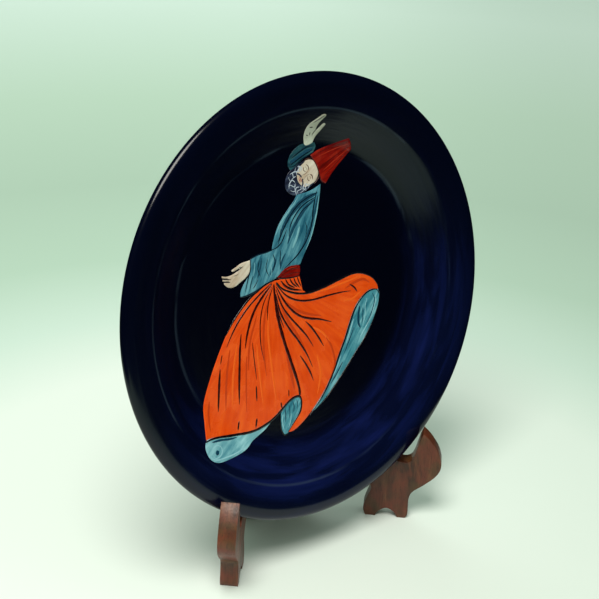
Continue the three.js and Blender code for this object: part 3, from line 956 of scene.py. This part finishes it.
# The beard's curls fan out from a point on the head's long axis, and reach further out below the chin. Their
# angles are in degrees from straight below that point.
CURLS = 15
FIRST_CURL = -98
CURL_STEP = 14
CURL_MIDDLE = -3.6
CURL_POINTS = (4.8, 6.2, 7.6, 9.0)
CHIN_REACH = 4.6
CURL_SWING = 0.16


def head_lines(lines, sides=(1,)):
    """Lines given in the head's axes, on the plate. Side -1 mirrors them over the head's long axis."""
    placed = []
    for side in sides:
        for run, width in lines:
            placed.append(([on_head(up, across * side) for up, across in run], width))
    return placed


def curl(number):
    """A wavy hair of the beard."""
    turn = math.radians(FIRST_CURL + CURL_STEP * number)
    longer = CHIN_REACH * math.cos(turn) ** 2
    points = []
    for distance in CURL_POINTS:
        swing = CURL_SWING * math.sin(1.5 * distance + 2.1 * number)
        away = distance * (1 + longer / CURL_POINTS[-1])
        points.append(on_head(CURL_MIDDLE - away * math.cos(turn + swing), away * math.sin(turn + swing)))
    return points


def draw_head_lines():
    brown = line_material("brown_line", (70, 40, 34), (150, 108, 88))
    draw_lines("painted_face_lines", brown, 0.3, head_lines(HALF_FACE_LINES, (1, -1)))
    lip_red = line_material("lip_red", (150, 58, 50), (196, 120, 104))
    draw_lines("painted_lips", lip_red, 0.3, head_lines(LIPS))
    slate_line = line_material("slate_line", (34, 38, 58), (90, 98, 122))
    draw_lines("painted_moustache", slate_line, 0.38, head_lines(HALF_MOUSTACHE, (1, -1)))
    grey_curl = line_material("grey_curl", (176, 184, 200), (96, 106, 130))
    curls = [(curl(number), 0.45 + 0.2 * (number % 3)) for number in range(CURLS)]
    draw_lines("painted_beard_curls", grey_curl, 0.38, curls)


def draw_hat_sash_and_hand_lines():
    draw_lines("painted_red_lines", line_material("deep_red", (70, 6, 4), (120, 20, 10)), 0.4, [
        ([(16, 92.6), (20.4, 86), (22.8, 79.4), (24.6, 73.6), (27, 71.6)], 0.8),
        ([(22, 93.2), (31, 94.6), (40, 96), (47.4, 96.8)], 0.6),
        ([(24, 84), (33, 87), (42, 90.6), (49.4, 94)], 0.6),
        ([(26.4, 76), (33, 80.4), (41, 85.6), (49, 91.4)], 0.7),
        ([(-15.6, 17.8), (-9, 19.8), (-2, 19.6), (2.2, 18.8)], 0.7),
        ([(-16, 16.2), (-9, 17), (-2, 16.6), (2, 16)], 0.6),
    ])
    draw_lines("painted_red_lights", line_material("bright_red", (158, 40, 18), (134, 20, 8)), 0.38, [
        ([(23, 90.6), (31, 92.4), (40, 94), (46, 95)], 0.8),
        ([(26, 80.4), (34, 84.4), (42, 88.4), (48.4, 92)], 0.9),
        ([(-12, 18.9), (-6, 20.6), (0, 20.2)], 0.6),
    ])
    draw_lines("painted_hand_lines", line_material("hand_line", (40, 34, 36), (110, 94, 84)), 0.4, [
        ([(14.4, 115.2), (18.2, 116.9), (22.6, 118.9)], 0.7),
        ([(12, 112.4), (14.8, 112)], 0.9),
        ([(17.9, 110), (16.4, 108.2), (15.6, 106)], 0.7),
        ([(10.6, 107.4), (12.4, 106.6)], 0.7),
        ([(13.4, 109), (13.6, 106.6)], 0.6),
        ([(-61.8, 25.8), (-58.4, 24.7), (-54.8, 23.9)], 0.9),
        ([(-61.2, 23.6), (-58.2, 22.8), (-55.4, 22.3)], 0.8),
        ([(-49.4, 28.2), (-47, 29.2), (-44.6, 30.4)], 0.7),
        ([(-52.4, 25.6), (-48.6, 26)], 0.4),
    ])


# -------- the stand

BOARD_EDGE_RADIUS = 0.9
BRASS_EDGE_RADIUS = 0.15
SCREW_EDGE_RADIUS = 0.12
# On a CAD solid, faces that turn by less than the first angle are joined, and edges that turn by more than
# the second are rounded. Edges that still turn by more than the third look crisp.
FLAT_TURN = math.radians(1)
SHARP_TURN = math.radians(35)
CRISP_TURN = math.radians(32)


def leg_place(side):
    """A board's own axes: x forward along it, y up and z across it. Side is -1 for left and 1 for right."""
    hinge = next(joint for joint in frame["joints"] if joint["name"] == "stand_fold")["pos_m"]
    turned = Matrix.Rotation(-math.pi / 2 + side * LEG_ANGLE, 4, "Z") @ Matrix.Rotation(math.pi / 2, 4, "X")
    return Matrix.Translation((0, hinge[1], 0)) @ turned


def refine(node, place, edge_radius, material, segments=3):
    """Copies a CAD node with its sharp edges rounded, and stands the copy in for it."""
    source = frame["nodes"][node]
    mesh = source.data.copy()
    mesh.name = "rounded_" + node
    mesh.transform(place.inverted())
    bm = bmesh.new()
    bm.from_mesh(mesh)
    bmesh.ops.remove_doubles(bm, verts=bm.verts, dist=1e-6)
    bmesh.ops.dissolve_limit(bm, angle_limit=FLAT_TURN, verts=bm.verts, edges=bm.edges)
    sharp = [edge for edge in bm.edges if edge.calc_face_angle(0) > SHARP_TURN]
    bmesh.ops.bevel(
        bm, geom=sharp, offset=edge_radius * MM, segments=segments, profile=0.5,
        affect="EDGES", clamp_overlap=True,
    )
    bmesh.ops.triangulate(bm, faces=[face for face in bm.faces if len(face.verts) > 4])
    bm.to_mesh(mesh)
    bm.free()
    mesh.shade_smooth()
    mesh.set_sharp_from_angle(angle=CRISP_TURN)
    mesh.materials.clear()
    mesh.materials.append(material)
    piece = bpy.data.objects.new("rounded_" + node, mesh)
    bpy.context.scene.collection.objects.link(piece)
    piece.matrix_world = place
    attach(piece, source["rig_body"])
    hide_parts(node)


def make_stand():
    leaf_brass = brass_material("rolled_brass", 0.26)
    screw_brass = brass_material("turned_brass", 0.2)
    # The right board is darker. Each board's grain is taken from another part of the wood.
    for side, name, darkening in ((-1, "left", 0.0), (1, "right", 0.3)):
        place = leg_place(side)
        walnut = walnut_material(name + "_walnut", (0.13 * side, 0.31, 0.07), darkening)
        refine(name + "_board", place, BOARD_EDGE_RADIUS, walnut)
        for hinge in ("lower", "upper"):
            leaf = f"{hinge}_hinge_{name}_leaf"
            refine(leaf, place, BRASS_EDGE_RADIUS, leaf_brass, segments=2)
            for number in (1, 2):
                screw = f"{hinge}_hinge_{name}_screw_{number}"
                refine(screw, place, SCREW_EDGE_RADIUS, screw_brass, segments=2)
    for hinge in ("lower", "upper"):
        refine(f"{hinge}_hinge_pin", leg_place(-1), BRASS_EDGE_RADIUS, screw_brass, segments=2)


# -------- the room

# Where the floor is cut, in metres from the middle along x and along y. The glaze stays dark because it
# mirrors the middle tile only.
FLOOR_CUTS_X = (-8.0, -0.46, 0.25, 8.0)
FLOOR_CUTS_Y = (-8.0, -0.62, 0.30, 8.0)
# Painted light and shade on the floor, by distance from the middle in metres, all less than FLOOR_FADE.
FLOOR_LIGHT_AND_SHADE = (
    (0.27, (216, 223, 218)), (0.37, (194, 211, 202)), (0.50, (174, 196, 181)), (0.70, (169, 190, 175)),
    (1.0, (183, 203, 188)), (1.45, (208, 222, 215)),
)
FLOOR_FADE = 2.0
FLOOR_PAINTED_SHADE = linear(140, 156, 146)
# The way across the floor to the right in the camera's view.
CAMERA_RIGHT = (0.76, -0.65, 0)

ROOM_COLOUR = linear(214, 238, 218)
ROOM_BRIGHTNESS = 0.58
WARM_LIGHT = linear(255, 252, 244)
COOL_LIGHT = linear(240, 250, 244)


def floor_material():
    """Pale paper with painted light: brightest round the stand, greyer further off and pale again at a distance.
    """
    n = Nodes("pale_floor", Roughness=0.9, IOR=1.3)
    place = n.place()
    shades = [(distance / FLOOR_FADE, linear(*shade)) for distance, shade in FLOOR_LIGHT_AND_SHADE]
    colour = n.ramp(n.times(n.length(place), 1 / FLOOR_FADE), *shades)
    # Painted shade: the right side is a little greyer.
    inputs = {0: place, 1: CAMERA_RIGHT}
    rightward = n.add("ShaderNodeVectorMath", inputs, out="Value", operation="DOT_PRODUCT")
    return n.finish(Base_Color=n.mix(n.step(rightward, -0.12, 0.36, 0.0, 0.3), colour, FLOOR_PAINTED_SHADE))


def make_floor():
    material = floor_material()
    for i, (x0, x1) in enumerate(zip(FLOOR_CUTS_X, FLOOR_CUTS_X[1:])):
        for j, (y0, y1) in enumerate(zip(FLOOR_CUTS_Y, FLOOR_CUTS_Y[1:])):
            mesh = bpy.data.meshes.new(f"floor_{i}_{j}")
            mesh.from_pydata([(x0, y0, 0), (x1, y0, 0), (x1, y1, 0), (x0, y1, 0)], [], [(0, 1, 2, 3)])
            mesh.materials.append(material)
            floor = bpy.data.objects.new(mesh.name, mesh)
            bpy.context.scene.collection.objects.link(floor)
            floor.visible_glossy = i == j == 1


def make_light(name, place, target, size, power, colour, mirrored=True):
    """A round lamp, its size in metres and its power in watts. The glaze shows it if it is mirrored."""
    data = bpy.data.lights.new(name, "AREA")
    data.shape = "DISK"
    data.size = size
    data.energy = power
    data.color = colour[:3]
    light = bpy.data.objects.new(name, data)
    bpy.context.scene.collection.objects.link(light)
    light.visible_glossy = mirrored
    light.location = place
    light.rotation_mode = "QUATERNION"
    light.rotation_quaternion = (Vector(target) - Vector(place)).to_track_quat("-Z", "Y")


def make_lights():
    world = bpy.data.worlds.new("pale_room")
    world.use_nodes = True
    background = world.node_tree.nodes["Background"]
    background.inputs["Color"].default_value = ROOM_COLOUR
    background.inputs["Strength"].default_value = ROOM_BRIGHTNESS
    world.cycles_visibility.glossy = False
    bpy.context.scene.world = world
    bpy.context.scene.view_settings.view_transform = "Standard"
    middle = (0, 0, 0.15)
    make_light("key", (-0.8, -0.6, 1.9), middle, size=1.1, power=47, colour=WARM_LIGHT)
    make_light("fill", (1.5, -1.2, 1.2), middle, size=1.4, power=4, colour=COOL_LIGHT, mirrored=False)
    behind = (0.9, 1.4, 0)
    make_light("backdrop", (0.9, 1.5, 1.5), behind, size=1.2, power=12, colour=COOL_LIGHT, mirrored=False)


make_camera()
make_floor()
make_lights()
make_plate()
paint_dancer()
make_stand()
